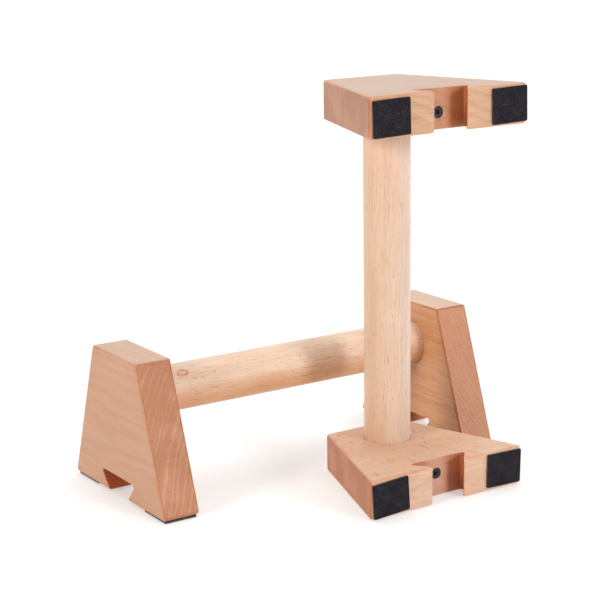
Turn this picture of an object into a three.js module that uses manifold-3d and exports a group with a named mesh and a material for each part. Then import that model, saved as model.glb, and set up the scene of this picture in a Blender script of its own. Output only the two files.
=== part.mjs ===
// A pair of wooden parallettes: two identical low push-up bars. One lies on its rubber feet,
// the other stands upright on the outer face of an end block. Millimetres, +Z up.
//
// Each bar is built in its own frame: +X along the grip rod, +Z up out of the feet, and the
// origin on the floor under the middle of the bar.

import * as THREE from 'three';
import { mergeVertices } from 'three/addons/utils/BufferGeometryUtils.js';
import Module from 'manifold-3d';

const wasm = await Module();
wasm.setup();

// ---- driving dimensions ------------------------------------------------------------------

const BAR_LENGTH = 300;          // outer face to outer face
const GAP = 0.3;                 // clearance between touching pieces

const BLOCK_THICKNESS = 29.5;
const BLOCK_HEIGHT = 108;
const BASE_WIDTH = 139.5;
const TOP_WIDTH = 66.5;
const EDGE_RADIUS = 2.2;         // rounding between a block's face and its sides
const CORNER_RADIUS = 2.4;       // rounding of the outline's four corners

const NOTCH_MOUTH_WIDTH = 27.4;  // the dovetail notch is narrow at the floor...
const NOTCH_CEILING_WIDTH = 52.5; // ...and wide inside, both between sharp corners
const NOTCH_DEPTH = 14.7;
const NOTCH_CORNER_RADIUS = 2.1; // rounding where the notch's walls meet its ceiling
const LIP_RADIUS = 0.7;          // rounding of the two lips at the notch's mouth
const LIP_FLARE = 1.6;           // a lip's rounding starts this far out along the base

const ROD_RADIUS = 17.5;
const ROD_HEIGHT = 76.5;         // the rod's axis above the floor
const ROD_CHAMFER = 1;
const SOCKET_DEPTH = 22;         // blind, so the block's outer face stays closed

const PAD_LENGTH = 31.5;         // across the bar
const PAD_WIDTH = 25.6;          // along the bar
const PAD_THICKNESS = 1.4;
const PAD_MARGIN = 2;            // from the block's base edge
const PAD_CORNER_RADIUS = 1.2;
const PAD_BEVEL = 0.3;

const SCREW_LENGTH = 62;
const SCREW_RADIUS = 2;
const SCREW_HEAD_RADIUS = 4.1;
const SCREW_RIM = 0.3;           // the straight edge of the countersunk head
const SCREW_TIP_LENGTH = 5;
const SCREW_SINK = 0.6;          // how far the head sits below the notch's ceiling
const SCREW_FROM_INNER_FACE = 12.2;
const RECESS_WIDTH = 4.4;
const RECESS_DEPTH = 2.2;
const RECESS_SLOT = 0.9;

// The pads are stuck on by hand: shift along the bar, shift across it, and turn in degrees.
const PAD_PLACING = {
  upright_bottom_left: [-0.3, -0.7, -3.4],
  upright_bottom_right: [0.5, -0.6, 1.5],
  upright_top_left: [-0.6, 0.2, -1.6],
  upright_top_right: [0, -0.1, -1.4],
};

// Places on the floor that put the origin in the middle of the pair's footprint.
const LYING_Y = 40.4;
const UPRIGHT_X = 42.6;
const UPRIGHT_Y = -109.2;        // the plane of the standing bar's feet

const ROUND_SIDES = 48;
const SCREW_SIDES = 20;
const ARC_STEPS = 3;             // an arc is drawn with twice as many chords
const BEVEL_STEPS = 4;

// ---- worked-out sizes --------------------------------------------------------------------

const BLOCK_BOTTOM = PAD_THICKNESS + GAP;
const NOTCH_CEILING = BLOCK_BOTTOM + NOTCH_DEPTH;
const SOCKET_RADIUS = ROD_RADIUS + GAP;
const ROD_LENGTH = BAR_LENGTH - 2 * BLOCK_THICKNESS + 2 * (SOCKET_DEPTH - GAP);
const SCREW_SEAT = NOTCH_CEILING + SCREW_SINK;
const SCREW_X = BLOCK_THICKNESS / 2 - SCREW_FROM_INNER_FACE;
const HEAD_HEIGHT = SCREW_RIM + SCREW_HEAD_RADIUS - SCREW_RADIUS;
const PAD_Y = BASE_WIDTH / 2 - PAD_MARGIN - PAD_LENGTH / 2;
const CUT_MARGIN = 2;            // how far a cutter runs past the face it opens

// ---- materials ---------------------------------------------------------------------------

const blockWood = () => new THREE.MeshStandardMaterial({ color: '#dca983', roughness: 0.6, metalness: 0 });
const rodWood = () => new THREE.MeshStandardMaterial({ color: '#e9c9a6', roughness: 0.55, metalness: 0 });
const padRubber = () => new THREE.MeshStandardMaterial({ color: '#26242a', roughness: 0.8, metalness: 0 });
const blackSteel = () => new THREE.MeshStandardMaterial({ color: '#1b1b1e', roughness: 0.4, metalness: 0.8 });

// ---- solids ------------------------------------------------------------------------------

function toSolid(geometry) {
  const bare = geometry.index ? geometry.toNonIndexed() : geometry.clone();
  bare.deleteAttribute('normal');
  bare.deleteAttribute('uv');
  const merged = mergeVertices(bare, 1e-4);
  return new wasm.Manifold(new wasm.Mesh({
    numProp: 3,
    vertProperties: new Float32Array(merged.attributes.position.array),
    triVerts: new Uint32Array(merged.index.array),
  }));
}

function toGeometry(solid) {
  const mesh = solid.getMesh();
  const geometry = new THREE.BufferGeometry();
  geometry.setAttribute('position', new THREE.BufferAttribute(new Float32Array(mesh.vertProperties), 3));
  geometry.setIndex(new THREE.BufferAttribute(new Uint32Array(mesh.triVerts), 1));
  geometry.computeVertexNormals();
  return geometry;
}

function carve(geometry, cutters) {
  return toGeometry(cutters.reduce((solid, cutter) => solid.subtract(toSolid(cutter)), toSolid(geometry)));
}

// A closed outline through counter-clockwise corners given as [x, y, radius of rounding].
function roundedOutline(corners) {
  const places = corners.map(([x, y]) => new THREE.Vector2(x, y));
  const shape = new THREE.Shape();
  corners.forEach(([, , radius = 0], i) => {
    const before = places[(i + places.length - 1) % places.length];
    const after = places[(i + 1) % places.length];
    const incoming = places[i].clone().sub(before).normalize();
    const outgoing = after.clone().sub(places[i]).normalize();
    const turn = Math.atan2(incoming.cross(outgoing), incoming.dot(outgoing));
    const tangentLength = radius * Math.tan(Math.abs(turn) / 2);
    const start = places[i].clone().addScaledVector(incoming, -tangentLength);
    if (i === 0) shape.moveTo(start.x, start.y);
    else shape.lineTo(start.x, start.y);
    if (radius > 0) {
      const startAngle = Math.atan2(incoming.y, incoming.x) - Math.sign(turn) * Math.PI / 2;
      const centreX = start.x - radius * Math.cos(startAngle);
      const centreY = start.y - radius * Math.sin(startAngle);
      shape.absarc(centreX, centreY, radius, startAngle, startAngle + turn, turn < 0);
    }
  });
  shape.closePath();
  return shape;
}

// The outline's plane is the bar's YZ plane, and the extrusion runs along X, centred on it.
function extrudeAlongX(shape, thickness, bevel) {
  const depth = thickness - 2 * bevel;
  const geometry = new THREE.ExtrudeGeometry(shape, {
    depth,
    curveSegments: ARC_STEPS,
    bevelEnabled: bevel > 0,
    bevelThickness: bevel,
    bevelSize: bevel,
    bevelOffset: -bevel,
    bevelSegments: BEVEL_STEPS,
  });
  geometry.translate(0, 0, -depth / 2);
  return geometry.applyMatrix4(new THREE.Matrix4().makeBasis(
    new THREE.Vector3(0, 1, 0),
    new THREE.Vector3(0, 0, 1),
    new THREE.Vector3(1, 0, 0),
  ));
}

function latheAlongZ(profile, sides) {
  const points = profile.map(([radius, height]) => new THREE.Vector2(radius, height));
  return new THREE.LatheGeometry(points, sides).rotateX(Math.PI / 2);
}

// ---- cutters -----------------------------------------------------------------------------

function notchCutter() {
  const mouth = NOTCH_MOUTH_WIDTH / 2;
  const flare = mouth + LIP_FLARE;
  const ceiling = NOTCH_CEILING_WIDTH / 2;
  const justBelowBlock = BLOCK_BOTTOM - 0.01;
  const shape = roundedOutline([
    [-flare, BLOCK_BOTTOM - CUT_MARGIN],
    [flare, BLOCK_BOTTOM - CUT_MARGIN],
    [flare, justBelowBlock],
    [mouth, justBelowBlock, LIP_RADIUS],
    [ceiling, NOTCH_CEILING, NOTCH_CORNER_RADIUS],
    [-ceiling, NOTCH_CEILING, NOTCH_CORNER_RADIUS],
    [-mouth, justBelowBlock, LIP_RADIUS],
    [-flare, justBelowBlock],
  ]);
  return extrudeAlongX(shape, BLOCK_THICKNESS + 2 * CUT_MARGIN, 0);
}

function socketCutter() {
  const length = SOCKET_DEPTH + CUT_MARGIN;
  const cutter = new THREE.CylinderGeometry(SOCKET_RADIUS, SOCKET_RADIUS, length, ROUND_SIDES);
  cutter.rotateZ(Math.PI / 2);
  return cutter.translate(BLOCK_THICKNESS / 2 + CUT_MARGIN - length / 2, 0, ROD_HEIGHT);
}

// The screw's hole: countersunk at the notch's ceiling and a clearance hole above it.
function screwHoleCutter() {
  const cutter = latheAlongZ([
    [0, -SCREW_SINK - CUT_MARGIN],
    [SCREW_HEAD_RADIUS + GAP, -SCREW_SINK - CUT_MARGIN],
    [SCREW_HEAD_RADIUS + GAP, SCREW_RIM + GAP],
    [SCREW_RADIUS + GAP, HEAD_HEIGHT + GAP],
    [SCREW_RADIUS + GAP, SCREW_LENGTH + GAP],
    [0, SCREW_LENGTH + GAP],
  ], SCREW_SIDES);
  return cutter.translate(SCREW_X, 0, SCREW_SEAT);
}

// ---- pieces ------------------------------------------------------------------------------

// The left end block, its inner face towards +X.
function blockGeometry() {
  const top = BLOCK_BOTTOM + BLOCK_HEIGHT;
  const outline = roundedOutline([
    [-BASE_WIDTH / 2, BLOCK_BOTTOM, CORNER_RADIUS],
    [BASE_WIDTH / 2, BLOCK_BOTTOM, CORNER_RADIUS],
    [TOP_WIDTH / 2, top, CORNER_RADIUS],
    [-TOP_WIDTH / 2, top, CORNER_RADIUS],
  ]);
  const blank = extrudeAlongX(outline, BLOCK_THICKNESS, EDGE_RADIUS);
  return carve(blank, [notchCutter(), socketCutter(), screwHoleCutter()]);
}

// The grip rod on the X axis, with a pilot hole from below near each end.
function rodGeometry() {
  const half = ROD_LENGTH / 2;
  const rod = latheAlongZ([
    [0, -half],
    [ROD_RADIUS - ROD_CHAMFER, -half],
    [ROD_RADIUS, ROD_CHAMFER - half],
    [ROD_RADIUS, half - ROD_CHAMFER],
    [ROD_RADIUS - ROD_CHAMFER, half],
    [0, half],
  ], ROUND_SIDES);
  rod.rotateY(Math.PI / 2);
  const screwSpacing = BAR_LENGTH - 2 * BLOCK_THICKNESS + 2 * SCREW_FROM_INNER_FACE;
  const pilotHoles = [-1, 1].map((side) => {
    const hole = screwHoleCutter();
    return hole.translate(-SCREW_X + side * screwSpacing / 2, 0, -ROD_HEIGHT);
  });
  return carve(rod, pilotHoles);
}

// A rounded rectangle of rubber lying on the floor, centred on the origin.
function padGeometry() {
  const outline = roundedOutline([
    [-PAD_WIDTH / 2, -PAD_LENGTH / 2, PAD_CORNER_RADIUS],
    [PAD_WIDTH / 2, -PAD_LENGTH / 2, PAD_CORNER_RADIUS],
    [PAD_WIDTH / 2, PAD_LENGTH / 2, PAD_CORNER_RADIUS],
    [-PAD_WIDTH / 2, PAD_LENGTH / 2, PAD_CORNER_RADIUS],
  ]);
  const geometry = new THREE.ExtrudeGeometry(outline, {
    depth: PAD_THICKNESS - 2 * PAD_BEVEL,
    curveSegments: 2,
    bevelThickness: PAD_BEVEL,
    bevelSize: PAD_BEVEL,
    bevelOffset: -PAD_BEVEL,
    bevelSegments: 1,
  });
  return geometry.translate(0, 0, PAD_BEVEL);
}

// A countersunk wood screw pointing up, its flat head at z = 0 and a cross recess in it.
function screwGeometry() {
  const screw = latheAlongZ([
    [0, 0],
    [SCREW_HEAD_RADIUS, 0],
    [SCREW_HEAD_RADIUS, SCREW_RIM],
    [SCREW_RADIUS, HEAD_HEIGHT],
    [SCREW_RADIUS, SCREW_LENGTH - SCREW_TIP_LENGTH],
    [0, SCREW_LENGTH],
  ], SCREW_SIDES);
  const taper = new THREE.Shape([
    new THREE.Vector2(-RECESS_WIDTH / 2, -CUT_MARGIN),
    new THREE.Vector2(RECESS_WIDTH / 2, -CUT_MARGIN),
    new THREE.Vector2(RECESS_WIDTH / 2, 0),
    new THREE.Vector2(RECESS_SLOT / 2, RECESS_DEPTH),
    new THREE.Vector2(-RECESS_SLOT / 2, RECESS_DEPTH),
    new THREE.Vector2(-RECESS_WIDTH / 2, 0),
  ]);
  const blades = [0, Math.PI / 2].map((angle) => extrudeAlongX(taper, RECESS_SLOT, 0).rotateZ(angle));
  return carve(screw, blades);
}

// ---- assembly ----------------------------------------------------------------------------

function namedMesh(name, geometry, material) {
  const mesh = new THREE.Mesh(geometry, material);
  mesh.name = name;
  return mesh;
}

// The left end's block and screw; the right end is the same turned half round.
function makeEnd(name) {
  const end = new THREE.Group();
  end.add(namedMesh(`${name}_block`, blockGeometry(), blockWood()));

  const screw = namedMesh(`${name}_screw`, screwGeometry(), blackSteel());
  screw.position.set(SCREW_X, 0, SCREW_SEAT);
  end.add(screw);
  return end;
}

function makePad(name, x, y) {
  const [along, across, turn] = PAD_PLACING[name] ?? [0, 0, 0];
  const pad = namedMesh(`${name}_pad`, padGeometry(), padRubber());
  pad.position.set(x + along, y + across, 0);
  pad.rotation.z = THREE.MathUtils.degToRad(turn);
  return pad;
}

// A whole bar. The first end and side named are those at low X and low Y.
function makeBar(name, ends, sides) {
  const bar = new THREE.Group();
  const endX = (BAR_LENGTH - BLOCK_THICKNESS) / 2;
  ends.forEach((endName, i) => {
    const direction = 2 * i - 1;
    const end = makeEnd(`${name}_${endName}`);
    end.position.x = direction * endX;
    end.rotation.z = i * Math.PI;
    bar.add(end);
    sides.forEach((sideName, j) => {
      bar.add(makePad(`${name}_${endName}_${sideName}`, direction * endX, (2 * j - 1) * PAD_Y));
    });
  });

  const rod = namedMesh(`${name}_rod`, rodGeometry(), rodWood());
  rod.position.z = ROD_HEIGHT;
  bar.add(rod);
  return bar;
}

const pair = new THREE.Group();

const lyingBar = makeBar('lying', ['left', 'right'], ['front', 'back']);
lyingBar.position.y = LYING_Y;
pair.add(lyingBar);

// The standing bar's rod points up, its feet face the front and its width runs along X.
const uprightBar = makeBar('upright', ['bottom', 'top'], ['left', 'right']);
uprightBar.quaternion.setFromRotationMatrix(new THREE.Matrix4().makeBasis(
  new THREE.Vector3(0, 0, 1),
  new THREE.Vector3(1, 0, 0),
  new THREE.Vector3(0, 1, 0),
));
uprightBar.position.set(UPRIGHT_X, UPRIGHT_Y, BAR_LENGTH / 2);
pair.add(uprightBar);

export default pair;
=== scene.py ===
"""A pair of wooden parallettes: one lies on its rubber feet, the other stands on an end block.

Sizes are millimetres in each bar's own frame, as in the CAD model: +X along the grip rod, +Z up out
of the feet, and the origin on the floor under the middle. Pieces are placed in metres.
"""

import math

import bmesh
import bpy
from mathutils import Matrix, Vector


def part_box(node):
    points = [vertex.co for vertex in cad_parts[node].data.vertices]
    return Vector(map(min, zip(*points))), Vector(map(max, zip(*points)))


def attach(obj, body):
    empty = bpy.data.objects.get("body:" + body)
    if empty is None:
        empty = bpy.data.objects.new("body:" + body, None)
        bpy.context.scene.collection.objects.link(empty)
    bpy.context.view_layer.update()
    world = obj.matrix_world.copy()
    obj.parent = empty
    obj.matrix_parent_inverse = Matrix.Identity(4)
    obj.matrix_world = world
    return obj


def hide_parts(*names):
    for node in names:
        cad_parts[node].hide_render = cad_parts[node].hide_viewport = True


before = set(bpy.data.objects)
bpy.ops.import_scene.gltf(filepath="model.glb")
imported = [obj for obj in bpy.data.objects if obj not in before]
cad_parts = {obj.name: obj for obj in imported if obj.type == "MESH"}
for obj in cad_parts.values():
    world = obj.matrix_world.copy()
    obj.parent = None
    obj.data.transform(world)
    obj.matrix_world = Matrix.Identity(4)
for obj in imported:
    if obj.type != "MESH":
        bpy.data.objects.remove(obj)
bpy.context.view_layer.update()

MM = 0.001

# ---- sizes, in millimetres ------------------------------------------------------------------

BAR_LENGTH = 300
BLOCK_THICKNESS = 29.5
BLOCK_BOTTOM = 1.7
BLOCK_TOP = 109.7
BASE_WIDTH = 139.5
TOP_WIDTH = 66.5
EDGE_RADIUS = 2.2
CORNER_RADIUS = 2.4

NOTCH_MOUTH_WIDTH = 27.4
NOTCH_CEILING_WIDTH = 52.5
NOTCH_CEILING = 16.4
NOTCH_EDGE_RADIUS = 0.9
NOTCH_CORNER_RADIUS = 2.1
LIP_RADIUS = 0.7

ROD_RADIUS = 17.5
ROD_HEIGHT = 76.5
ROD_LENGTH = 284.4
ROD_CHAMFER = 1.0
SOCKET_DEPTH = 22
SOCKET_CLEARANCE = 0.12
SOCKET_CHAMFER = 0.25

PAD_LENGTH = 31.5
PAD_WIDTH = 25.6
PAD_THICKNESS = 1.4
PAD_CORNER_RADIUS = 1.2
KNURL_PITCH = 1.085              # half a diamond's diagonal
KNURL_DEPTH = 0.38
KNURL_PLATEAU = 0.5              # the flat share of a diamond, from its centre to its groove

SCREW_LENGTH = 62
SCREW_RADIUS = 2.0
SCREW_CORE_RADIUS = 1.45
SCREW_HEAD_RADIUS = 4.1
SCREW_HEAD_CHAMFER = 0.15
SCREW_RIM = 0.3
SCREW_NECK_STEP = 0.2            # the countersink's small end is this much thicker than the core
SCREW_NECK = 8                   # where the thread starts
SCREW_TIP = 6
SCREW_SEAT = 17.0                # the head's face above the floor
SCREW_X = 2.55                   # its axis, from the block's middle towards the bar's
SCREW_HOLE_RADIUS = 2.3
SCREW_GAP = 0.3
THREAD_PITCH = 2.4
THREAD_FLANK = 0.3               # the share of a pitch from the thread's crest to its foot
RECESS_WIDTH = 5.0
RECESS_SLOT = 1.1
RECESS_DEPTH = 2.2
OVERSHOOT = 2                    # how far a cutter reaches past the face that it opens

PAD_TURNS = {                    # the pads are stuck on by hand, a few degrees askew
    "upright_bottom_left_pad": -3.4,
    "upright_bottom_right_pad": 1.5,
    "upright_top_left_pad": -1.6,
    "upright_top_right_pad": -1.4,
}

ROD_SIDES = 128
CORNER_STEPS = 8
BEVEL_STEPS = 6
NOTCH_BEVEL_STEPS = 3
SCREW_SIDES = 24
ROWS_PER_THREAD = 6
SHARP_ANGLE = 35                 # in degrees


# ---- mesh building ---------------------------------------------------------------------------


def mesh_from(build, name):
    """The finished mesh of a bmesh in millimetres, in metres and with its normals outwards."""
    bmesh.ops.recalc_face_normals(build, faces=build.faces)
    bmesh.ops.scale(build, vec=(MM, MM, MM), verts=build.verts)
    mesh = bpy.data.meshes.new(name)
    build.to_mesh(mesh)
    build.free()
    return mesh


def skin(rings, name):
    """A closed surface through rings of equally many points; a ring of one point closes an end."""
    build = bmesh.new()
    loops = [[build.verts.new(point) for point in ring] for ring in rings]
    for low, high in zip(loops, loops[1:]):
        count = max(len(low), len(high))
        for i in range(count):
            j = (i + 1) % count
            corners = [low[i % len(low)], low[j % len(low)], high[j % len(high)], high[i % len(high)]]
            build.faces.new(list(dict.fromkeys(corners)))
    for loop in (loops[0], loops[-1]):
        if len(loop) > 1:
            build.faces.new(loop)
    return mesh_from(build, name)


def turned(profile, sides, name):
    """A surface turned about the X axis from (along, radius) pairs."""
    rings = []
    for along, radius in profile:
        if radius == 0:
            rings.append([(along, 0, 0)])
            continue
        angles = [math.tau * i / sides for i in range(sides)]
        rings.append([(along, radius * math.cos(a), radius * math.sin(a)) for a in angles])
    return skin(rings, name)


def in_metres(matrix):
    """The same transform with its shift turned from millimetres into metres."""
    metric = matrix.copy()
    metric.translation = matrix.translation * MM
    return metric


def moved(mesh, matrix):
    """The same mesh after a transform given in millimetres."""
    mesh.transform(in_metres(matrix))
    return mesh


def carve(mesh, cutters):
    """The mesh less each of the cutter meshes."""
    base = bpy.data.objects.new("carved", mesh)
    tools = [bpy.data.objects.new("cutter", cutter) for cutter in cutters]
    for tool in [base, *tools]:
        bpy.context.scene.collection.objects.link(tool)
    for tool in tools:
        cut = base.modifiers.new("cut", "BOOLEAN")
        cut.operation = "DIFFERENCE"
        cut.solver = "EXACT"
        cut.object = tool
    evaluated = base.evaluated_get(bpy.context.evaluated_depsgraph_get())
    result = bpy.data.meshes.new_from_object(evaluated)
    for tool in [base, *tools]:
        bpy.data.objects.remove(tool)
    return result


def smooth(mesh):
    """Smooth-shaded, but for the edges that turn by more than the sharp angle."""
    mesh.shade_smooth()
    mesh.set_sharp_from_angle(angle=math.radians(SHARP_ANGLE))
    return mesh


# ---- end blocks ------------------------------------------------------------------------------


def inset_corners(corners, insets):
    """A polygon's corners after each edge, from corner i to the next, moves inwards by its inset."""
    count = len(corners)
    lines = []
    for i, corner in enumerate(corners):
        along = (corners[(i + 1) % count] - corner).normalized()
        inward = Vector((-along.y, along.x))
        lines.append((corner + inward * insets[i], along))
    result = []
    for i in range(count):
        (first, before), (second, after) = lines[i - 1], lines[i]
        share = (second - first).cross(after) / before.cross(after)
        result.append(first + before * share)
    return result


def round_corner(before, corner, after, radius):
    """Points of the arc that rounds one corner, convex or concave."""
    incoming = (corner - before).normalized()
    outgoing = (after - corner).normalized()
    turn = math.atan2(incoming.cross(outgoing), incoming.dot(outgoing))
    start = corner - incoming * radius * math.tan(abs(turn) / 2)
    side = math.copysign(1, turn)
    centre = start + Vector((-incoming.y, incoming.x)) * side * radius
    arm = start - centre
    points = []
    for step in range(CORNER_STEPS + 1):
        angle = turn * step / CORNER_STEPS
        turned_arm = Vector((
            arm.x * math.cos(angle) - arm.y * math.sin(angle),
            arm.x * math.sin(angle) + arm.y * math.cos(angle),
        ))
        points.append(centre + turned_arm)
    return points


def block_section(outer_inset, notch_inset):
    """The block's outline across the bar, its outer and notch edges drawn in by their insets."""
    mouth, ceiling = NOTCH_MOUTH_WIDTH / 2, NOTCH_CEILING_WIDTH / 2
    base, top = BASE_WIDTH / 2, TOP_WIDTH / 2
    outline = [
        (mouth, BLOCK_BOTTOM, LIP_RADIUS),
        (base, BLOCK_BOTTOM, CORNER_RADIUS - outer_inset),
        (top, BLOCK_TOP, CORNER_RADIUS - outer_inset),
        (-top, BLOCK_TOP, CORNER_RADIUS - outer_inset),
        (-base, BLOCK_BOTTOM, CORNER_RADIUS - outer_inset),
        (-mouth, BLOCK_BOTTOM, LIP_RADIUS),
        (-ceiling, NOTCH_CEILING, NOTCH_CORNER_RADIUS + notch_inset),
        (ceiling, NOTCH_CEILING, NOTCH_CORNER_RADIUS + notch_inset),
    ]
    insets = [outer_inset] * 5 + [notch_inset] * 3
    corners = inset_corners([Vector((y, z)) for y, z, _ in outline], insets)
    points = []
    for i, (_, _, radius) in enumerate(outline):
        points += round_corner(corners[i - 1], corners[i], corners[(i + 1) % len(corners)], radius)
    return points


def rounding_inset(depth, radius):
    """How far a quarter-round edge is drawn in at a depth below the face."""
    if depth >= radius:
        return 0
    return radius - math.sqrt(radius ** 2 - (radius - depth) ** 2)


def quarter_depths(radius, steps):
    return [radius * (1 - math.cos(math.pi / 2 * step / steps)) for step in range(steps + 1)]


def block_blank():
    depths = quarter_depths(EDGE_RADIUS, BEVEL_STEPS)
    depths += quarter_depths(NOTCH_EDGE_RADIUS, NOTCH_BEVEL_STEPS)[1:]
    rings = []
    for depth in sorted(depths):
        section = block_section(
            rounding_inset(depth, EDGE_RADIUS), rounding_inset(depth, NOTCH_EDGE_RADIUS)
        )
        rings.append([(depth - BLOCK_THICKNESS / 2, y, z) for y, z in section])
    rings += [[(-x, y, z) for x, y, z in ring] for ring in reversed(rings)]
    return skin(rings, "block")


def socket_cutter():
    radius = ROD_RADIUS + SOCKET_CLEARANCE
    face = BLOCK_THICKNESS / 2
    profile = [
        (face - SOCKET_DEPTH, 0),
        (face - SOCKET_DEPTH, radius),
        (face - SOCKET_CHAMFER, radius),
        (face, radius + SOCKET_CHAMFER),
        (face + OVERSHOOT, radius + SOCKET_CHAMFER),
        (face + OVERSHOOT, 0),
    ]
    return moved(turned(profile, ROD_SIDES, "socket"), Matrix.Translation((0, 0, ROD_HEIGHT)))


def screw_place(x, z):
    """Turns a screw's own X axis to point up and puts its head's face at a place."""
    return Matrix.Translation((x, 0, z)) @ Matrix.Rotation(-math.pi / 2, 4, "Y")


def screw_hole_cutter(x, z):
    head_radius = SCREW_HEAD_RADIUS + SCREW_GAP
    neck_start = SCREW_RIM + SCREW_HEAD_RADIUS - SCREW_RADIUS + SCREW_GAP
    profile = [
        (-OVERSHOOT, 0),
        (-OVERSHOOT, head_radius),
        (SCREW_RIM + SCREW_GAP, head_radius),
        (neck_start, SCREW_HOLE_RADIUS),
        (SCREW_LENGTH + SCREW_GAP, SCREW_HOLE_RADIUS),
        (SCREW_LENGTH + SCREW_GAP, 0),
    ]
    return moved(turned(profile, SCREW_SIDES, "screw_hole"), screw_place(x, z))


def block_mesh():
    """The left end block, its inner face towards +X."""
    return smooth(carve(block_blank(), [socket_cutter(), screw_hole_cutter(SCREW_X, SCREW_SEAT)]))


# ---- rods, pads and screws -------------------------------------------------------------------


def rod_mesh():
    half = ROD_LENGTH / 2
    profile = [
        (-half, 0),
        (-half, ROD_RADIUS - ROD_CHAMFER),
        (ROD_CHAMFER - half, ROD_RADIUS),
        (half - ROD_CHAMFER, ROD_RADIUS),
        (half, ROD_RADIUS - ROD_CHAMFER),
        (half, 0),
    ]
    screw_along = (BAR_LENGTH - BLOCK_THICKNESS) / 2 - SCREW_X
    holes = [screw_hole_cutter(side * screw_along, SCREW_SEAT - ROD_HEIGHT) for side in (-1, 1)]
    return smooth(carve(turned(profile, ROD_SIDES, "rod"), holes))


def grid_lines(half_size):
    """Knurl lines half a pitch apart, at least a third of that clear of the pad's two edges."""
    step = KNURL_PITCH / 2
    last = int((half_size - step / 3) / step)
    return [-half_size] + [i * step for i in range(-last, last + 1)] + [half_size]


def knurl_height(x, y):
    """How deep the knurl's grooves run between its flat-topped diamonds, which stand on the floor."""
    across = (x + y) / KNURL_PITCH / 2
    along = (x - y) / KNURL_PITCH / 2
    from_centre = 2 * max(abs(across - round(across)), abs(along - round(along)))
    return KNURL_DEPTH * max(0, (from_centre - KNURL_PLATEAU) / (1 - KNURL_PLATEAU))


def inside_round_corner(x, y):
    """The point itself, or the nearest one on the pad's rounded corner if it lies beyond that."""
    centre_x = math.copysign(PAD_WIDTH / 2 - PAD_CORNER_RADIUS, x)
    centre_y = math.copysign(PAD_LENGTH / 2 - PAD_CORNER_RADIUS, y)
    arm = Vector((x - centre_x, y - centre_y))
    beyond = abs(x) > abs(centre_x) and abs(y) > abs(centre_y)
    if beyond and arm.length > PAD_CORNER_RADIUS:
        arm = arm.normalized() * PAD_CORNER_RADIUS
    return centre_x + arm.x, centre_y + arm.y


def pad_mesh():
    """A rubber pad, knurled side down on the floor."""
    build = bmesh.new()
    columns, rows = grid_lines(PAD_WIDTH / 2), grid_lines(PAD_LENGTH / 2)
    grid = []
    for x in columns:
        places = [inside_round_corner(x, y) for y in rows]
        grid.append([build.verts.new((*place, knurl_height(*place))) for place in places])
    for left, right in zip(grid, grid[1:]):
        for i in range(len(rows) - 1):
            corners = [left[i], right[i], right[i + 1], left[i + 1]]
            heights = [corner.co.z for corner in corners]
            if abs(heights[0] - heights[2]) > abs(heights[1] - heights[3]):
                corners = corners[1:] + corners[:1]
            build.faces.new((corners[0], corners[1], corners[2]))
            build.faces.new((corners[0], corners[2], corners[3]))
    border = [column[0] for column in grid] + grid[-1][1:]
    border += [column[-1] for column in reversed(grid[:-1])] + grid[0][-2:0:-1]
    back = [build.verts.new((corner.co.x, corner.co.y, PAD_THICKNESS)) for corner in border]
    for i, corner in enumerate(border):
        build.faces.new((border[i - 1], corner, back[i], back[i - 1]))
    build.faces.new(back)
    return mesh_from(build, "pad")


def thread_radius(along, angle):
    """The threaded shank's radius: a sharp helical crest that fades out at both ends."""
    turn = (along / THREAD_PITCH - angle / math.tau) % 1
    crest = max(0, 1 - abs(turn - 0.5) / THREAD_FLANK)
    to_point = (SCREW_LENGTH - along) / SCREW_TIP
    fade = min(1, (along - SCREW_NECK) / THREAD_PITCH, to_point)
    core = SCREW_CORE_RADIUS * min(1, to_point)
    return core + (SCREW_RADIUS - SCREW_CORE_RADIUS) * crest * fade


def recess_cutter(angle):
    """One wing of the cross recess, wide at the head's face and narrow at its floor."""
    half_slot = RECESS_SLOT / 2
    rings = []
    half_mouth = RECESS_WIDTH / 2
    for along, half_width in ((-OVERSHOOT, half_mouth), (0, half_mouth), (RECESS_DEPTH, half_slot)):
        corners = ((-1, -1), (1, -1), (1, 1), (-1, 1))
        rings.append([(along, half_width * a, half_slot * b) for a, b in corners])
    return moved(skin(rings, "recess"), Matrix.Rotation(angle, 4, "X"))


def screw_mesh():
    """A countersunk wood screw along +X, its head's face at the origin."""
    profile = [
        (0, SCREW_HEAD_RADIUS - SCREW_HEAD_CHAMFER),
        (SCREW_HEAD_CHAMFER, SCREW_HEAD_RADIUS),
        (SCREW_RIM, SCREW_HEAD_RADIUS),
        (SCREW_RIM + SCREW_HEAD_RADIUS - SCREW_RADIUS, SCREW_CORE_RADIUS + SCREW_NECK_STEP),
        (SCREW_NECK, SCREW_CORE_RADIUS),
    ]
    angles = [math.tau * i / SCREW_SIDES for i in range(SCREW_SIDES)]
    rings = [[(x, r * math.cos(a), r * math.sin(a)) for a in angles] for x, r in profile]
    row = THREAD_PITCH / ROWS_PER_THREAD
    for i in range(1, int((SCREW_LENGTH - SCREW_NECK) / row)):
        along = SCREW_NECK + i * row
        radii = [(thread_radius(along, a), a) for a in angles]
        rings.append([(along, r * math.cos(a), r * math.sin(a)) for r, a in radii])
    rings.append([(SCREW_LENGTH, 0, 0)])
    wings = [recess_cutter(angle) for angle in (math.pi / 4, math.pi * 3 / 4)]
    return smooth(carve(skin(rings, "screw"), wings))


# ---- materials -------------------------------------------------------------------------------


def tone(red, green, blue):
    """A colour from its display values of 0 to 255."""
    channels = [value / 255 for value in (red, green, blue)]
    linear = [c / 12.92 if c <= 0.04045 else ((c + 0.055) / 1.055) ** 2.4 for c in channels]
    return (*linear, 1)


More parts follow.
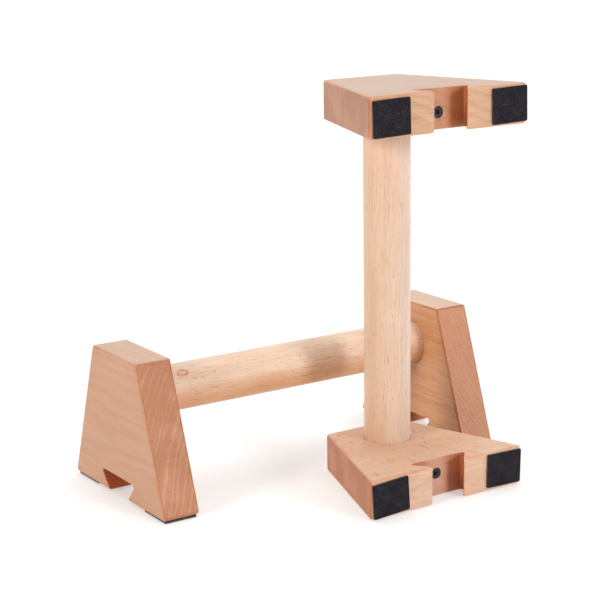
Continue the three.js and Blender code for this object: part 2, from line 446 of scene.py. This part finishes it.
class Paint:
    """A material whose nodes are made and linked in short steps."""

    def __init__(self, name):
        self.material = bpy.data.materials.new(name)
        self.material.use_nodes = True
        self.tree = self.material.node_tree
        self.shader = self.tree.nodes["Principled BSDF"]

    def add(self, kind, inputs, output=0, **settings):
        node = self.tree.nodes.new(kind)
        for key, value in settings.items():
            setattr(node, key, value)
        for socket, value in inputs.items():
            self.feed(node.inputs[socket], value)
        return node.outputs[output]

    def feed(self, socket, value):
        if isinstance(value, bpy.types.NodeSocket):
            self.tree.links.new(value, socket)
        else:
            socket.default_value = value

    def math(self, operation, *values):
        return self.add("ShaderNodeMath", dict(enumerate(values)), operation=operation)

    def product(self, first, *others):
        for other in others:
            first = self.math("MULTIPLY", first, other)
        return first

    def absolute(self, value):
        return self.math("ABSOLUTE", value)

    def place(self, shift=(0, 0, 0)):
        """The spot on the piece in millimetres, in its own frame. A shift gives it grain of its own."""
        coordinates = self.add("ShaderNodeTexCoord", {}, output="Object")
        return self.add(
            "ShaderNodeVectorMath",
            {0: coordinates, 1: (1 / MM,) * 3, 2: shift},
            operation="MULTIPLY_ADD",
        )

    def split(self, vector):
        node = self.tree.nodes.new("ShaderNodeSeparateXYZ")
        self.feed(node.inputs[0], vector)
        return node.outputs

    def join(self, x, y, z):
        return self.add("ShaderNodeCombineXYZ", {0: x, 1: y, 2: z})

    def length(self, vector):
        return self.add("ShaderNodeVectorMath", {0: vector}, output="Value", operation="LENGTH")

    def stretch(self, vector, factors):
        return self.add("ShaderNodeVectorMath", {0: vector, 1: factors}, operation="MULTIPLY")

    def noise(self, vector, detail=2, roughness=0.5, distortion=0):
        """Noise of about -1 to 1 with features a unit across."""
        inputs = {
            "Vector": vector, "Scale": 1, "Detail": detail,
            "Roughness": roughness, "Distortion": distortion,
        }
        raw = self.add("ShaderNodeTexNoise", inputs, output="Fac")
        return self.math("MULTIPLY_ADD", raw, 2, -1)

    def between(self, value, low, high):
        """0 below low, 1 above high, and smooth from one to the other."""
        inputs = {"Value": value, "From Min": low, "From Max": high}
        return self.add("ShaderNodeMapRange", inputs, interpolation_type="SMOOTHSTEP")

    def fade(self, value, low, high):
        """1 below low, 0 above high, and smooth from one to the other."""
        return self.math("SUBTRACT", 1, self.between(value, low, high))

    def mix(self, share, first, second, blend="MIX"):
        node = self.tree.nodes.new("ShaderNodeMix")
        node.data_type = "RGBA"
        node.blend_type = blend
        for socket, value in (("Factor_Float", share), ("A_Color", first), ("B_Color", second)):
            self.feed(next(s for s in node.inputs if s.identifier == socket), value)
        return next(s for s in node.outputs if s.identifier == "Result_Color")

    def blend_in(self, colour, second, mask, strength):
        """The colour with a second one mixed in by a mask, at most at the given strength."""
        return self.mix(self.math("MULTIPLY", mask, strength), colour, second)

    def own_normal(self):
        """The surface's direction in the piece's own frame, split into X, Y and Z."""
        geometry = self.add("ShaderNodeNewGeometry", {}, output="Normal")
        turned_back = self.add(
            "ShaderNodeVectorTransform",
            {0: geometry},
            vector_type="NORMAL",
            convert_from="WORLD",
            convert_to="OBJECT",
        )
        return self.split(turned_back)

    def finish(self, colour, roughness, height, depth, specular):
        """Wires the shader. The bump's depth is in millimetres."""
        self.feed(self.shader.inputs["Base Color"], colour)
        self.feed(self.shader.inputs["Roughness"], roughness)
        self.shader.inputs["Specular IOR Level"].default_value = specular
        relief = {"Height": height, "Distance": depth * MM, "Strength": 1.0}
        self.feed(self.shader.inputs["Normal"], self.add("ShaderNodeBump", relief, output="Normal"))
        return self.material


WAVER = 0.6                      # how far the rings waver over a short stretch, in millimetres
RING_UNEVENNESS = 1.2            # how far a ring is out of its even place, in rings
FIBRE_SHARE = 0.45
WOOD_ROUGHNESS = 0.44


class Timber:
    """Wood whose fibres run along a place's Y, cut from a stem whose pith leans as it goes along."""

    def __init__(self, paint, place, cut):
        self.paint = paint
        self.place = place
        self.cut = cut
        x, self.along, z = paint.split(place)
        across, up = self.from_pith(x, 0), self.from_pith(z, 1)
        self.stem = self.distance(across, up)
        angle = paint.math("ARCTAN2", across, up)
        self.around = paint.math("MULTIPLY", angle, math.hypot(*cut["pith"]))
        self.phase = self.ring_phase()
        # late wood comes on slowly through a ring and ends sharply
        late_wood = paint.between(self.phase, 0.25, 0.88)
        self.ring = paint.math("SUBTRACT", late_wood, paint.between(self.phase, 0.9, 1.0))
        self.fibres = self.grain(1.0, 0.04, detail=4, roughness=0.65)
        self.lines = self.grain(1.1, 0.07, detail=2)
        self.streaks = self.grain(0.26, 0.014, detail=3)
        self.mottle = self.grain(0.045, 0.022, detail=3)

    def grain(self, across, along, detail, roughness=0.5):
        """Noise drawn out along the fibres, with so many features a millimetre across and along them."""
        stretched = self.paint.stretch(self.place, (across, along, across))
        return self.paint.noise(stretched, detail, roughness)

    def from_pith(self, position, axis):
        """How far the spot is from the leaning pith, across (axis 0) or up (axis 1)."""
        lean, start = self.cut["lean"][axis], self.cut["pith"][axis]
        pith = self.paint.math("MULTIPLY_ADD", self.along, lean, start)
        return self.paint.math("SUBTRACT", position, pith)

    def distance(self, across, up):
        """The distance out from the pith, uneven because the rings wander and waver."""
        paint = self.paint
        straight = paint.length(paint.join(across, up, 0))
        wander = self.grain(0.03, 0.009, detail=3)
        waver = self.grain(0.16, 0.03, detail=2)
        wandering = paint.math("MULTIPLY_ADD", wander, self.cut["wander"], straight)
        return paint.math("MULTIPLY_ADD", waver, WAVER, wandering)

    def ring_phase(self):
        """Where the spot lies in its growth ring: 0 at the ring's start and 1 at its end."""
        paint = self.paint
        count = paint.math("DIVIDE", self.stem, self.cut["ring_width"])
        uneven = paint.noise(paint.join(paint.math("MULTIPLY", count, 0.45), 0, 0), detail=1)
        return paint.math("FRACT", paint.math("MULTIPLY_ADD", uneven, RING_UNEVENNESS, count))

    def flecks(self, size, sparseness):
        """Thin plates of ray cells. Their size is outwards, along the fibres and around the stem."""
        place = self.paint.join(
            self.paint.math("DIVIDE", self.stem, size[0]),
            self.paint.math("DIVIDE", self.along, size[1]),
            self.paint.math("DIVIDE", self.around, size[2]),
        )
        rays = self.paint.noise(place, detail=2, distortion=0.5)
        return self.paint.between(rays, sparseness, sparseness + 0.1)

    def colour(self):
        """From pale to deep by rings, fibres, streaks and mottling, with fine dark lines."""
        paint, cut = self.paint, self.cut
        share = paint.math("MULTIPLY_ADD", self.ring, cut["ring_share"], 0.5 - cut["ring_share"] / 2)
        share = paint.math("MULTIPLY_ADD", self.fibres, FIBRE_SHARE, share)
        share = paint.math("MULTIPLY_ADD", self.streaks, cut["streak_share"], share)
        share = paint.math("MULTIPLY_ADD", self.mottle, cut["mottle_share"], share)
        share = paint.math("MINIMUM", paint.math("MAXIMUM", share, 0), 1)
        colour = paint.mix(share, cut["pale"], cut["deep"])
        dark_lines = paint.between(self.lines, 0.05, 0.5)
        return paint.blend_in(colour, cut["line_tone"], dark_lines, cut["line_share"])

    def finish(self, colour, fleck):
        """Sanded wood: fibres and rings stand out of the surface a little, and flecks lie deeper."""
        roughness = self.paint.math("MULTIPLY_ADD", self.fibres, 0.07, WOOD_ROUGHNESS)
        roughness = self.paint.math("MULTIPLY_ADD", self.ring, -0.05, roughness)
        height = self.paint.math("MULTIPLY_ADD", self.fibres, 0.5, self.ring)
        height = self.paint.math("MULTIPLY_ADD", fleck, -0.6, height)
        self.paint.shader.inputs["Sheen Weight"].default_value = 0.08
        self.paint.shader.inputs["Sheen Roughness"].default_value = 0.45
        return self.paint.finish(colour, roughness, height, depth=0.03, specular=0.4)


# How each block is cut from its stem, in its own frame and in millimetres. The pith is a place in the
# plane across the fibres, its X and Z, and leans that much for each millimetre along them. Wander is how
# far the rings stray, and shift takes each block's grain from another stretch of the noise. A fleck's
# size is outwards from the pith, along the fibres and around the stem. Shares, from 0 to 1, say how
# strongly a feature shows. The top is the axis and the sense of the face that looks up. Its tint is a
# painted sheen that makes that face paler, and the end tint multiplies the colour of the end grain.
BLOCK_CUTS = {
    "lying_left": {
        "pith": (250, -77), "lean": (0.02, 0.03), "wander": 4, "ring_width": 5.5, "shift": 137,
        "pale": tone(192, 150, 120), "deep": tone(174, 123, 93), "line_tone": tone(178, 123, 89),
        "ring_share": 0.25, "streak_share": 0.2, "mottle_share": 0.3, "line_share": 0.35,
        "fleck_size": (3, 2, 0.5), "fleck_share": 0.2, "notch_shade_share": 0.77,
        "end_tint": (0.78, 0.51, 0.26, 1), "end_line_share": 0.26, "stroke_share": 0.3,
        "edge_tone": tone(192, 110, 62), "edge_share": 0.22,
        "top": (2, 1), "top_sheen_tint": (1.07, 1.22, 1.36, 1),
    },
    "lying_right": {
        "pith": (-242, 151), "lean": (0.01, 0.02), "wander": 2, "ring_width": 2.2, "shift": 274,
        "pale": tone(205, 157, 115), "deep": tone(181, 125, 83), "line_tone": tone(154, 97, 56),
        "ring_share": 0.25, "streak_share": 0.3, "mottle_share": 0.4, "line_share": 0.5,
        "fleck_size": (3, 2, 0.5), "fleck_share": 0.2, "notch_shade_share": 0.35,
        "end_tint": (0.91, 0.78, 0.83, 1), "end_line_share": 0.4, "stroke_share": 0.1,
        # its darker, stronger edge tone is partly the wood's edge colour and partly painted shade along
        # its rounded edges
        "edge_tone": tone(160, 80, 40), "edge_share": 0.7,
        "top": (2, 1), "top_sheen_tint": (1.02, 1.34, 1.86, 1),
    },
    "upright_bottom": {
        "pith": (-60, -170), "lean": (0.14, 0.03), "wander": 3, "ring_width": 2.4, "shift": 411,
        "pale": tone(216, 181, 156), "deep": tone(197, 153, 123), "line_tone": tone(193, 132, 93),
        "ring_share": 0.2, "streak_share": 0.4, "mottle_share": 0.4, "line_share": 0.55,
        "fleck_size": (13, 2.6, 1.7), "fleck_share": 0.75, "notch_shade_share": 0.75,
        "end_tint": (0.55, 0.24, 0.06, 1), "end_line_share": 0.3, "stroke_share": 0.1,
        "edge_tone": tone(205, 124, 76), "edge_share": 0.32,
        "top": (0, 1), "top_sheen_tint": (1.04, 1.03, 1.01, 1),
    },
    "upright_top": {
        "pith": (6, -140), "lean": (0.03, 0.12), "wander": 3, "ring_width": 2.8, "shift": 548,
        "pale": tone(207, 171, 142), "deep": tone(191, 135, 96), "line_tone": tone(185, 126, 84),
        "ring_share": 0.3, "streak_share": 0.4, "mottle_share": 0.4, "line_share": 0.5,
        "fleck_size": (3, 2, 0.5), "fleck_share": 0.2, "notch_shade_share": 0.7,
        "end_tint": (0.52, 0.35, 0.19, 1), "end_line_share": 0.4, "stroke_share": 0.1,
        "edge_tone": tone(208, 134, 88), "edge_share": 0.28,
        "top": (0, -1), "top_sheen_tint": (0.82, 0.91, 1.01, 1),
    },
}

RAY_TONE = tone(186, 110, 64)
# the colour of the painted shade inside the dovetail notch
NOTCH_SHADE_TONE = tone(170, 86, 38)
PORE_TONE = tone(110, 56, 34)
LATE_WOOD_TONE = tone(176, 100, 62)
PALE_PATCH_TONE = tone(206, 150, 110)
STROKE_TONE = tone(160, 84, 58)
STROKE_SIZE = (9, 400, 1.6)
PALE_LINE_TONE = tone(208, 160, 134)

# Masks on which way a face looks: the cosines between which they change, from all to none for edges
# and for the notch's walls, and from none to all for the others.
EDGE_FACING = (0.9, 0.998)
TOP_FACING = (0.8, 0.98)
BROAD_FACING = (0.4, 0.9)
END_GRAIN_FACING = (0.55, 0.93)
NOTCH_WALL_FACING = (0.3, 0.8)
SHADED_SIDE_FACING = (-0.6, 0.8)

NOTCH_MARGIN = 0.3               # how far the notch's mask reaches past its walls, in millimetres
CEILING_FADE = 0.2               # the height over which it ends there
LIP_FADE = 1.5                   # the height inside the notch at which its painted shade is full
SHADE_REACH = (3, 14)             # from the block's middle plane, where the painted shade starts to deepen and where it is full
# the painted shade's share at the notch's middle, where it is lightest
MIDDLE_SHADE_SHARE = 0.45


def edge_mask(paint, facing):
    """1 on rounded edges, 0 where the surface faces straight along one of the block's directions."""
    slant = math.atan2((BASE_WIDTH - TOP_WIDTH) / 2, BLOCK_TOP - BLOCK_BOTTOM)
    across, up = paint.absolute(facing[1]), facing[2]
    sideways = paint.math("MULTIPLY", across, math.cos(slant))
    on_side = paint.math("MULTIPLY_ADD", up, math.sin(slant), sideways)
    on_face = paint.math("MAXIMUM", paint.absolute(facing[0]), paint.absolute(up))
    return paint.fade(paint.math("MAXIMUM", on_face, on_side), *EDGE_FACING)


def notch_shade_mask(paint, facing):
    """Painted shade on the walls of the dovetail notch, deeper and deeper towards its corners."""
    _, across, up = paint.split(paint.place())
    off_middle = paint.absolute(across)
    ceiling = NOTCH_CEILING + NOTCH_MARGIN
    half = NOTCH_CEILING_WIDTH / 2
    deeper_shade = paint.between(off_middle, *SHADE_REACH)
    return paint.product(
        paint.between(up, BLOCK_BOTTOM + NOTCH_MARGIN, BLOCK_BOTTOM + LIP_FADE),
        paint.fade(up, ceiling, ceiling + CEILING_FADE),
        paint.fade(off_middle, half, half + NOTCH_MARGIN),
        paint.fade(paint.absolute(facing[0]), *NOTCH_WALL_FACING),
        paint.math("MULTIPLY_ADD", deeper_shade, 1 - MIDDLE_SHADE_SHARE, MIDDLE_SHADE_SHARE),
    )


def tinted_side(paint, colour, facing, side, reach, tint):
    """The colour, tinted where the surface faces one side: an axis and a sense along it. This paints
    light or shade by the way a surface faces.
    """
    axis, sense = side
    share = paint.between(paint.math("MULTIPLY", facing[axis], sense), *reach)
    return paint.mix(share, colour, paint.mix(1, colour, tint, "MULTIPLY"))


def end_grain_colour(paint, timber, colour):
    """The wood across its fibres: darker, with pores, dark strokes and broken pale ring lines."""
    cut = timber.cut
    colour = paint.mix(1, colour, cut["end_tint"], "MULTIPLY")
    pores = paint.between(timber.fibres, -0.35, 0.45)
    colour = paint.blend_in(colour, PORE_TONE, pores, 0.12)
    colour = paint.blend_in(colour, LATE_WOOD_TONE, timber.ring, 0.25)
    pale_patches = paint.between(timber.mottle, -0.3, 0.5)
    colour = paint.blend_in(colour, PALE_PATCH_TONE, pale_patches, 0.3)
    strokes = timber.flecks(STROKE_SIZE, sparseness=0.2)
    colour = paint.blend_in(colour, STROKE_TONE, strokes, cut["stroke_share"])
    from_ring_middle = paint.absolute(paint.math("SUBTRACT", timber.phase, 0.5))
    unbroken = paint.between(timber.mottle, -0.4, 0.3)
    lines = paint.math("MULTIPLY", paint.between(from_ring_middle, 0.33, 0.5), unbroken)
    return paint.blend_in(colour, PALE_LINE_TONE, lines, cut["end_line_share"])


def block_wood(end):
    paint = Paint(f"beech_{end}_block")
    cut = BLOCK_CUTS[end]
    timber = Timber(paint, paint.place((0, cut["shift"], 0)), cut)
    facing = paint.own_normal()
    on_broad_face = paint.between(paint.absolute(facing[0]), *BROAD_FACING)
    flecks = timber.flecks(cut["fleck_size"], sparseness=0.25)
    fleck = paint.math("MULTIPLY", flecks, on_broad_face)
    colour = paint.blend_in(timber.colour(), RAY_TONE, fleck, cut["fleck_share"])
    # painted sheen: the face that looks up is made paler, as grazing reflection would make it
    colour = tinted_side(paint, colour, facing, cut["top"], TOP_FACING, cut["top_sheen_tint"])
    end_grain = paint.between(paint.absolute(facing[1]), *END_GRAIN_FACING)
    colour = paint.mix(end_grain, colour, end_grain_colour(paint, timber, colour))
    edge_share = paint.math("ADD", timber.mottle, cut["edge_share"])
    colour = paint.blend_in(colour, cut["edge_tone"], edge_mask(paint, facing), edge_share)
    # painted shade inside the dovetail notch, deepest towards its corners
    colour = paint.blend_in(colour, NOTCH_SHADE_TONE, notch_shade_mask(paint, facing), cut["notch_shade_share"])
    return timber.finish(colour, fleck)


# How each rod is cut from its stem, as for the blocks, but with its fibres along X and the pith's place
# in Y and Z. The shaded side is the axis and the sense of the side turned away from the key light, which
# a painted shade tint makes deeper and warmer. A knot's place is across, along and above the rod's
# middle.
ROD_CUTS = {
    "lying": {
        "pith": (70, 45), "lean": (0.015, 0.01), "wander": 4, "ring_width": 2.6, "shift": 211,
        "pale": tone(225, 203, 182), "deep": tone(210, 171, 141), "line_tone": tone(198, 135, 90),
        "ring_share": 0.1, "streak_share": 0.35, "mottle_share": 0.5, "line_share": 0.6,
        "shaded_side": (2, -1), "painted_shade_tint": (0.88, 0.62, 0.38, 1),
        "fleck_share": 0.5, "knot": (-11.2, -99, 13.4),
    },
    "upright": {
        "pith": (-55, 62), "lean": (0.01, -0.02), "wander": 4, "ring_width": 2.3, "shift": 422,
        "pale": tone(221, 200, 185), "deep": tone(206, 174, 149), "line_tone": tone(202, 148, 104),
        "ring_share": 0.1, "streak_share": 0.35, "mottle_share": 0.4, "line_share": 0.5,
        "shaded_side": (1, -1), "painted_shade_tint": (0.96, 0.89, 0.82, 1),
        "fleck_share": 0.36, "knot": None,
    },
}

ROD_FLECK_TONE = tone(186, 114, 68)
ROD_FLECK_SIZE = (2.2, 4.5, 0.9)
KNOT_TONE = tone(206, 142, 98)
KNOT_RING_TONE = tone(142, 82, 50)


def along_y(paint, place):
    """Rods have their fibres along X, so the place's X and Y change places."""
    x, y, z = paint.split(place)
    return paint.join(y, x, z)


def knot_colour(paint, colour, centre):
    """A small healed knot: an orange patch with a broken dark ring, stretched along the fibres."""
    place = along_y(paint, paint.place())
    offset = paint.add("ShaderNodeVectorMath", {0: place, 1: centre}, operation="SUBTRACT")
    distance = paint.length(paint.stretch(offset, (1, 0.62, 1)))
    ragged = paint.noise(paint.stretch(place, (0.5, 0.4, 0.5)))
    distance = paint.math("MULTIPLY_ADD", ragged, 1.3, distance)
    colour = paint.blend_in(colour, KNOT_TONE, paint.fade(distance, 2.2, 4.6), 0.5)
    outside = paint.between(distance, 2.3, 3.4)
    ring = paint.math("SUBTRACT", paint.between(distance, 1.2, 2.1), outside)
    unbroken = paint.between(paint.noise(paint.stretch(place, (0.6, 0.5, 0.6)), detail=1), -0.25, 0.2)
    return paint.blend_in(colour, KNOT_RING_TONE, paint.math("MULTIPLY", ring, unbroken), 0.55)


def rod_wood(bar):
    paint = Paint(f"beech_{bar}_rod")
    cut = ROD_CUTS[bar]
    timber = Timber(paint, along_y(paint, paint.place((cut["shift"], 0, 0))), cut)
    fleck = timber.flecks(ROD_FLECK_SIZE, sparseness=0.3)
    colour = paint.blend_in(timber.colour(), ROD_FLECK_TONE, fleck, cut["fleck_share"])
    facing = paint.own_normal()
    # painted shade: the side turned away from the key light is made deeper and warmer
    colour = tinted_side(paint, colour, facing, cut["shaded_side"], SHADED_SIDE_FACING, cut["painted_shade_tint"])
    if cut["knot"]:
        colour = knot_colour(paint, colour, cut["knot"])
    return timber.finish(colour, fleck)


def pad_rubber():
    """Black rubber with painted glints: pale dots in the grooves of its mesh pattern."""
    paint = Paint("black_rubber")
    place = paint.place()
    _, _, height = paint.split(place)
    grit = paint.noise(paint.stretch(place, (5, 5, 5)), detail=3, roughness=0.7)
    wear_and_glint = paint.noise(paint.stretch(place, (0.12, 0.12, 0.12)), detail=3)
    colour = paint.mix(paint.between(wear_and_glint, -0.4, 0.5), tone(8, 5, 12), tone(21, 15, 25))
    glint_specks = paint.noise(paint.stretch(place, (0.6, 0.6, 0.6)), detail=2, roughness=0.7)
    groove = paint.between(height, KNURL_DEPTH * 0.3, KNURL_DEPTH * 0.9)
    glint_patchiness = paint.math("MULTIPLY_ADD", paint.between(wear_and_glint, -0.2, 0.5), 0.6, 0.35)
    glint_share = paint.math("MULTIPLY_ADD", paint.between(glint_specks, -0.1, 0.3), glint_patchiness, 0.18)
    # painted glints: a pale tone in the grooves of the mesh, in patches
    colour = paint.blend_in(colour, tone(122, 113, 122), groove, glint_share)
    roughness = paint.math("MULTIPLY_ADD", wear_and_glint, 0.12, 0.5)
    return paint.finish(colour, roughness, grit, depth=0.02, specular=0.2)


def screw_steel():
    paint = Paint("black_phosphated_steel")
    place = paint.place()
    crystals = paint.noise(paint.stretch(place, (4, 4, 4)), detail=3, roughness=0.7)
    wear_and_glint = paint.between(paint.noise(paint.stretch(place, (0.9, 0.9, 0.9)), detail=2), 0.1, 0.5)
    # painted glints: lighter patches of the steel's colour stand in for reflections
    colour = paint.mix(wear_and_glint, tone(58, 58, 70), tone(112, 112, 132))
    roughness = paint.math("MULTIPLY_ADD", crystals, 0.12, 0.36)
    paint.shader.inputs["Metallic"].default_value = 0.8
    return paint.finish(colour, roughness, crystals, depth=0.01, specular=0.5)


# ---- assembly --------------------------------------------------------------------------------


def add_piece(node, mesh, place, material, body):
    """Shows a detailed piece in place of the CAD node of the same name."""
    mesh.materials.clear()
    mesh.materials.append(material)
    piece = bpy.data.objects.new(f"{node}_finished", mesh)
    bpy.context.scene.collection.objects.link(piece)
    piece.matrix_world = place
    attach(piece, body)
    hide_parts(node)
    return piece


def box_centre(node):
    low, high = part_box(node)
    return (low + high) / 2


def bar_frame(name, turn):
    """The bar's own frame in the world: under the middle of its rod, in the plane of its feet."""
    feet = box_centre(f"{name}_rod") - turn @ Vector((0, 0, ROD_HEIGHT * MM))
    return Matrix.Translation(feet) @ turn.to_4x4()


def add_bar(name, turn, ends, sides, meshes, rubber, steel):
    body = f"{name}_bar"
    bar = bar_frame(name, turn)
    end_x = (BAR_LENGTH - BLOCK_THICKNESS) / 2
    for i, end in enumerate(ends):
        # the first block is at -X, and the second one at +X is turned to face it
        side_sign = 2 * i - 1
        half_turn = Matrix.Rotation(i * math.pi, 4, "Z")
        at_end = bar @ in_metres(Matrix.Translation((side_sign * end_x, 0, 0)) @ half_turn)
        block = add_piece(
            f"{name}_{end}_block", meshes["block"].copy(), at_end, block_wood(f"{name}_{end}"), body
        )
        block.modifiers.new("even_faces", "WEIGHTED_NORMAL").keep_sharp = True
        screw_at = at_end @ in_metres(screw_place(SCREW_X, SCREW_SEAT))
        add_piece(f"{name}_{end}_screw", meshes["screw"].copy(), screw_at, steel, body)
        for side in sides:
            node = f"{name}_{end}_{side}_pad"
            askew = Matrix.Rotation(math.radians(PAD_TURNS.get(node, 0)), 4, "Z")
            back_to_feet = turn @ Vector((0, 0, PAD_THICKNESS / 2 * MM))
            pad_at = Matrix.Translation(box_centre(node) - back_to_feet) @ turn.to_4x4() @ askew
            add_piece(node, meshes["pad"].copy(), pad_at, rubber, body)
    rod_at = bar @ in_metres(Matrix.Translation((0, 0, ROD_HEIGHT)))
    add_piece(f"{name}_rod", meshes["rod"].copy(), rod_at, rod_wood(name), body)


def add_pair():
    meshes = {"block": block_mesh(), "rod": rod_mesh(), "pad": pad_mesh(), "screw": screw_mesh()}
    rubber, steel = pad_rubber(), screw_steel()
    standing = Matrix(((0, 1, 0), (0, 0, 1), (1, 0, 0)))
    add_bar("lying", Matrix.Identity(3), ("left", "right"), ("front", "back"), meshes, rubber, steel)
    add_bar("upright", standing, ("bottom", "top"), ("left", "right"), meshes, rubber, steel)


# ---- stage -----------------------------------------------------------------------------------

FLOOR_SIZE = 40.0
FLOOR_DROP = 0.0002              # the floor lies this far under the feet, in metres
FLOOR_GREY = 0.62
FLOOR_GLOW = 0.4

CAMERA_PLACE = (-0.686385, -1.01911, 0.433182)
CAMERA_TURN = (76.4224, 0.7826, -33.6205)
CAMERA_LENS = 101.403
CAMERA_SENSOR = 36

TOWARDS_BACKDROP = (0.55, 0.83, 0.1)
SKY_RAMP = {"From Min": -0.5, "From Max": 0.8, "To Min": 0.25, "To Max": 1.15}


def add_floor():
    paint = Paint("white_floor")
    paint.shader.inputs["Base Color"].default_value = (FLOOR_GREY, FLOOR_GREY, FLOOR_GREY, 1)
    paint.shader.inputs["Emission Color"].default_value = (1, 1, 1, 1)
    paint.shader.inputs["Emission Strength"].default_value = FLOOR_GLOW
    paint.shader.inputs["Roughness"].default_value = 0.9
    paint.shader.inputs["Specular IOR Level"].default_value = 0.1
    half = FLOOR_SIZE / 2
    build = bmesh.new()
    corners = ((-half, -half), (half, -half), (half, half), (-half, half))
    build.faces.new([build.verts.new((x, y, -FLOOR_DROP)) for x, y in corners])
    mesh = bpy.data.meshes.new("floor")
    build.to_mesh(mesh)
    build.free()
    mesh.materials.append(paint.material)
    floor = bpy.data.objects.new("floor", mesh)
    bpy.context.scene.collection.objects.link(floor)


def add_sky():
    """A studio with a white backdrop behind the object and a dimmer room on the camera's side."""
    world = bpy.data.worlds.new("studio")
    world.use_nodes = True
    bpy.context.scene.world = world
    tree = world.node_tree
    direction = tree.nodes.new("ShaderNodeTexCoord").outputs["Generated"]
    towards_backdrop = tree.nodes.new("ShaderNodeVectorMath")
    towards_backdrop.operation = "DOT_PRODUCT"
    towards_backdrop.inputs[1].default_value = TOWARDS_BACKDROP
    strength = tree.nodes.new("ShaderNodeMapRange")
    strength.interpolation_type = "SMOOTHSTEP"
    for socket, value in SKY_RAMP.items():
        strength.inputs[socket].default_value = value
    background = tree.nodes["Background"]
    background.inputs["Color"].default_value = (1, 1, 1, 1)
    tree.links.new(direction, towards_backdrop.inputs[0])
    tree.links.new(towards_backdrop.outputs["Value"], strength.inputs["Value"])
    tree.links.new(strength.outputs[0], background.inputs["Strength"])


# Soft boxes too far away to fall off: where each lies, how wide it looks in degrees, its strength
# and its colour.
SOFT_BOXES = {
    "key_front_right": ((0.28, -0.96, 0.33), 15, 1.5, (1.0, 1.04, 1.09)),
    "fill_left": ((-0.94, -0.15, 0.38), 18, 1.6, (1.0, 0.89, 0.76)),
    "top": ((0.1, 0.1, 1), 60, 0.85, (1.0, 1.0, 1.0)),
}


def add_lights():
    for name, (direction, width, strength, colour) in SOFT_BOXES.items():
        light = bpy.data.lights.new(name, "SUN")
        light.energy = strength
        light.color = colour
        light.angle = math.radians(width)
        lamp = bpy.data.objects.new(name, light)
        bpy.context.scene.collection.objects.link(lamp)
        lamp.rotation_euler = Vector(direction).to_track_quat("Z", "Y").to_euler()


def add_camera():
    lens = bpy.data.cameras.new("camera")
    lens.lens = CAMERA_LENS
    lens.sensor_width = CAMERA_SENSOR
    lens.clip_end = 100
    camera = bpy.data.objects.new("camera", lens)
    bpy.context.scene.collection.objects.link(camera)
    camera.location = CAMERA_PLACE
    camera.rotation_euler = [math.radians(angle) for angle in CAMERA_TURN]
    bpy.context.scene.camera = camera


add_camera()
add_pair()
add_floor()
add_sky()
add_lights()
bpy.context.scene.view_settings.view_transform = "Standard"
